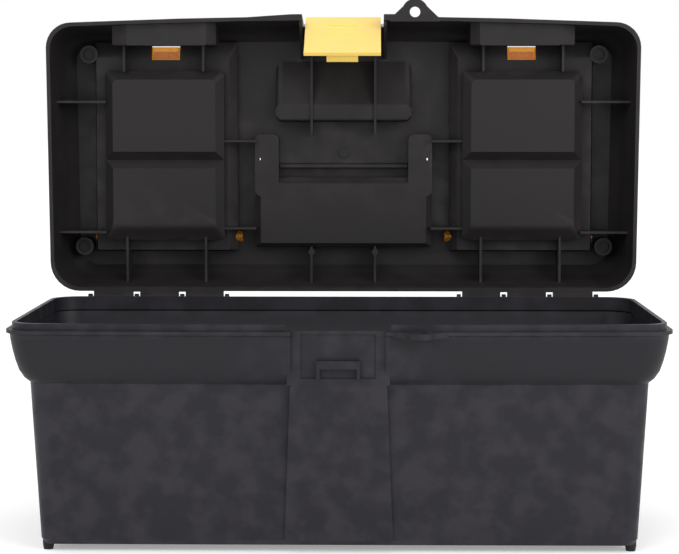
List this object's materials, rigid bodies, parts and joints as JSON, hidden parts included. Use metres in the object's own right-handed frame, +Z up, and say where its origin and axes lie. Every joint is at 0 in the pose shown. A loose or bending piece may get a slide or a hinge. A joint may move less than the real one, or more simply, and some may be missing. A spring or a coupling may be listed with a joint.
{
  "type": "toolbox",
  "caption": "Plastic toolbox with a hinged lid, front latch, folding carry handle, organizer covers in the lid's top and a lift-out tray.",
  "frame": {"origin": "on the floor, at the middle of the open toolbox's footprint box", "axes": "+X to the right along the box's width, +Y from the latch side to the hinge side, +Z up"},
  "size_m": [0.407, 0.2524, 0.3465],
  "materials": {
    "bin_plastic": "fine moulded grain",
    "lid_plastic": "fine moulded grain",
    "pin_steel": "drawn wire",
    "latch_plastic": "satin moulded",
    "amber_plastic": "clear amber, polished",
    "tray_plastic": "fine moulded grain"
  },
  "bodies": {
    "bin": {"bin_shell": "bin_plastic", "hinge_pin_left": "pin_steel", "hinge_pin_right": "pin_steel"},
    "lid": {"lid_shell": "lid_plastic", "organizer_tub_left": "lid_plastic", "organizer_tub_right": "lid_plastic", "handle_housing": "lid_plastic", "finger_scoop": "lid_plastic"},
    "latch_pivot": {"latch_pin": "pin_steel"},
    "latch": {"front_latch": "latch_plastic"},
    "handle": {"carry_handle": "bin_plastic"},
    "cover_left": {"organizer_cover_left": "amber_plastic"},
    "cover_right": {"organizer_cover_right": "amber_plastic"},
    "tray": {"lift_out_tray": "tray_plastic"}
  },
  "joints": [
    {"name": "lid_hinge", "type": "hinge", "parent": "bin", "child": "lid", "pos_m": [0, 0.07975, 0.1405], "axis": [-1, 0, 0], "range_deg": [-90, 0]},
    {"name": "latch_hang", "type": "hinge", "parent": "lid", "child": "latch_pivot", "pos_m": [0, 0.10525, 0.32875], "axis": [-1, 0, 0], "range_deg": [0, 30]},
    {"name": "latch_lift", "type": "hinge", "parent": "latch_pivot", "child": "latch", "pos_m": [0, 0.10525, 0.32875], "axis": [-1, 0, 0], "range_deg": [0, 90]},
    {"name": "handle_fold", "type": "hinge", "parent": "lid", "child": "handle", "pos_m": [0, 0.11885, 0.23975], "axis": [1, 0, 0], "range_deg": [0, 95]},
    {"name": "cover_left_hinge", "type": "hinge", "parent": "lid", "child": "cover_left", "pos_m": [-0.1245, 0.11945, 0.18145], "axis": [-1, 0, 0], "range_deg": [0, 95]},
    {"name": "cover_right_hinge", "type": "hinge", "parent": "lid", "child": "cover_right", "pos_m": [0.1245, 0.11945, 0.18145], "axis": [-1, 0, 0], "range_deg": [0, 95]},
    {"name": "tray_lift", "type": "slide", "parent": "bin", "child": "tray", "axis": [0, 0, 1], "range_m": [0, 0.15]}
  ],
  "couplings": [
    {"joint": "latch_hang", "follows": "lid_hinge", "ratio": -0.33333}
  ]
}
